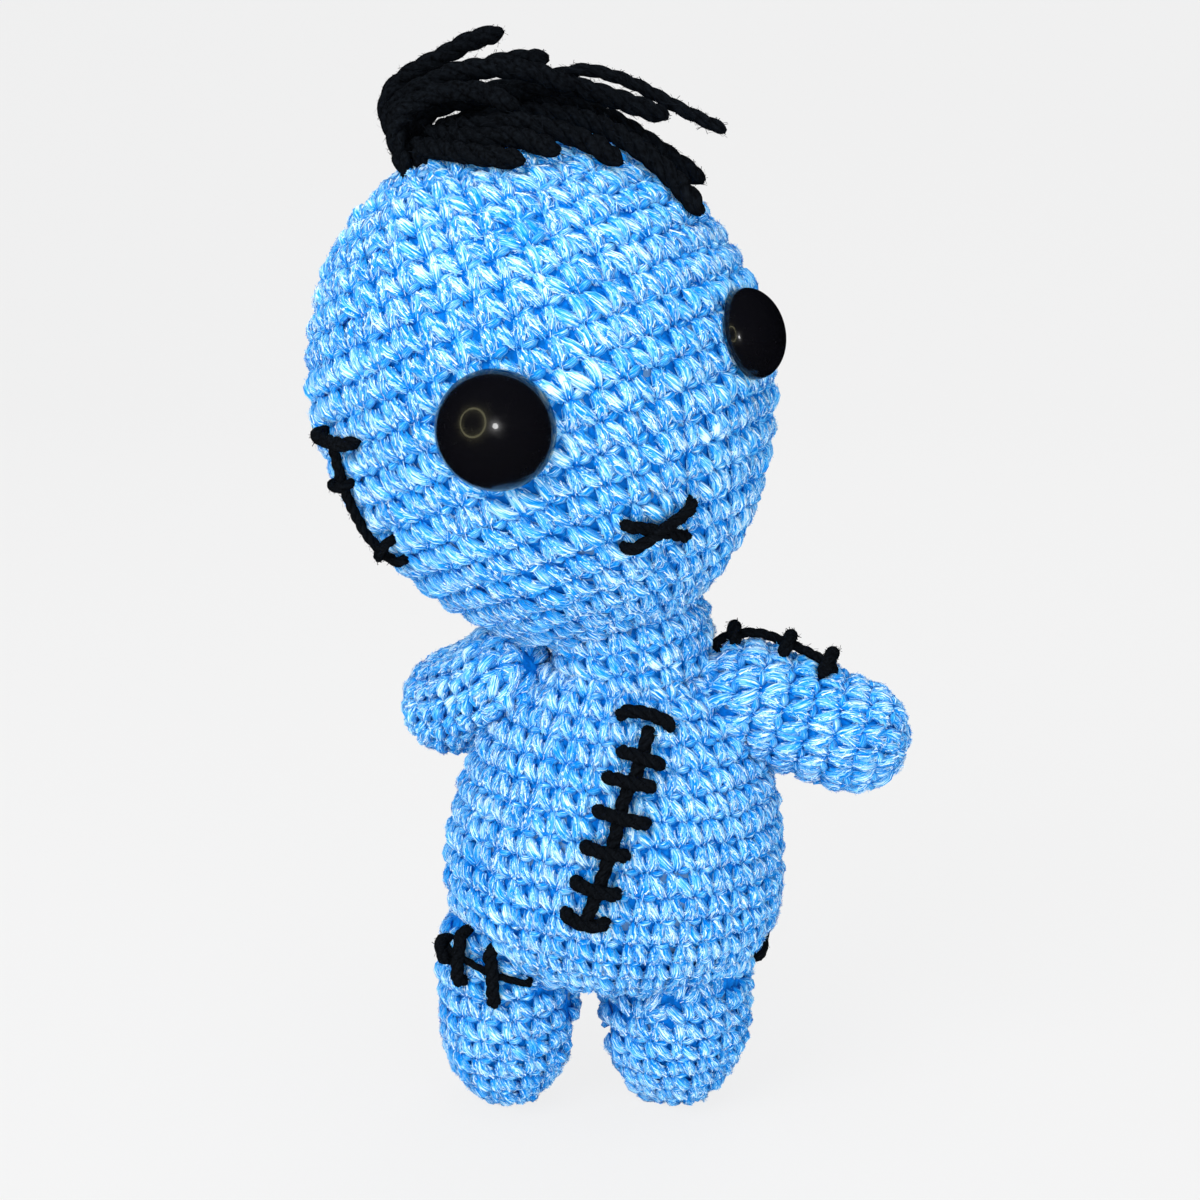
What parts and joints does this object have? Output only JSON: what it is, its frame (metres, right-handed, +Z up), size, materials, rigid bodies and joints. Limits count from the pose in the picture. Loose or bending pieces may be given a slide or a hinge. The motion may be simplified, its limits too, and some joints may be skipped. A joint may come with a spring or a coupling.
{
  "type": "crocheted doll",
  "caption": "Standing crocheted doll with a big tilted head, stubby arms and legs, glossy button-like eyes, stitched scars and a tuft of yarn hair.",
  "frame": {"origin": "centre of the doll's overall box, on the floor that its feet stand on", "axes": "+Z up, the doll's belly faces -Y (turned 8 degrees towards +X), its left side is +X"},
  "size_m": [0.1066, 0.0866, 0.1935],
  "materials": {
    "blue_crochet": "light blue worsted acrylic yarn in single crochet, fuzzy",
    "polyester_filling": "loose polyester fibre filling",
    "black_embroidery_yarn": "black acrylic yarn, plied, slightly fuzzy",
    "black_hair_yarn": "thick black acrylic yarn, plied",
    "black_glossy_plastic": "polished black plastic",
    "natural_plastic": "uncoloured moulded plastic"
  },
  "bodies": {
    "torso": {"belly_scar_bar_1": "black_embroidery_yarn", "belly_scar_bar_2": "black_embroidery_yarn", "belly_scar_bar_3": "black_embroidery_yarn", "belly_scar_bar_4": "black_embroidery_yarn", "belly_scar_bar_5": "black_embroidery_yarn", "belly_scar_bar_6": "black_embroidery_yarn", "belly_scar_bar_7": "black_embroidery_yarn", "belly_scar_seam": "black_embroidery_yarn", "leg_left_scar_bar_1": "black_embroidery_yarn", "leg_left_scar_seam": "black_embroidery_yarn", "leg_left_shell": "blue_crochet", "leg_left_stuffing": "polyester_filling", "leg_right_scar_bar_1": "black_embroidery_yarn", "leg_right_scar_bar_2": "black_embroidery_yarn", "leg_right_scar_bar_3": "black_embroidery_yarn", "leg_right_scar_seam": "black_embroidery_yarn", "leg_right_shell": "blue_crochet", "leg_right_stuffing": "polyester_filling", "torso_shell": "blue_crochet", "torso_stuffing": "polyester_filling"},
    "neck": {"neck_shell": "blue_crochet", "neck_stuffing": "polyester_filling"},
    "head": {"cheek_scar_bar_1": "black_embroidery_yarn", "cheek_scar_bar_2": "black_embroidery_yarn", "cheek_scar_bar_3": "black_embroidery_yarn", "cheek_scar_seam": "black_embroidery_yarn", "eye_left": "black_glossy_plastic", "eye_right": "black_glossy_plastic", "eye_washer_left": "natural_plastic", "eye_washer_right": "natural_plastic", "hair_strand_1": "black_hair_yarn", "hair_strand_10": "black_hair_yarn", "hair_strand_11": "black_hair_yarn", "hair_strand_12": "black_hair_yarn", "hair_strand_2": "black_hair_yarn", "hair_strand_3": "black_hair_yarn", "hair_strand_4": "black_hair_yarn", "hair_strand_5": "black_hair_yarn", "hair_strand_6": "black_hair_yarn", "hair_strand_7": "black_hair_yarn", "hair_strand_8": "black_hair_yarn", "hair_strand_9": "black_hair_yarn", "head_shell": "blue_crochet", "head_stuffing": "polyester_filling", "mouth_stitch_high": "black_embroidery_yarn", "mouth_stitch_low": "black_embroidery_yarn"},
    "arm_left": {"arm_left_scar_bar_1": "black_embroidery_yarn", "arm_left_scar_bar_2": "black_embroidery_yarn", "arm_left_scar_bar_3": "black_embroidery_yarn", "arm_left_scar_seam": "black_embroidery_yarn", "arm_left_shell": "blue_crochet", "arm_left_stuffing": "polyester_filling"},
    "arm_right": {"arm_right_shell": "blue_crochet", "arm_right_stuffing": "polyester_filling"}
  },
  "joints": [
    {"name": "head_tilt", "type": "hinge", "parent": "torso", "child": "neck", "pos_m": [0.0039, -0.00026, 0.08865], "axis": [0, 1, 0], "range_deg": [-3, 25]},
    {"name": "head_turn", "type": "hinge", "parent": "neck", "child": "head", "pos_m": [0.0039, -0.00026, 0.08865], "axis": [-0.3413, 0.0663, 0.9376], "range_deg": [-75, 25]},
    {"name": "arm_left_raise", "type": "hinge", "parent": "torso", "child": "arm_left", "pos_m": [0.02453, -0.00026, 0.0786], "axis": [0, -1, 0], "range_deg": [-14, 15]},
    {"name": "arm_right_raise", "type": "hinge", "parent": "torso", "child": "arm_right", "pos_m": [-0.01877, -0.00126, 0.0805], "axis": [0.7282, 0.6854, 0], "range_deg": [-8, 6]}
  ]
}
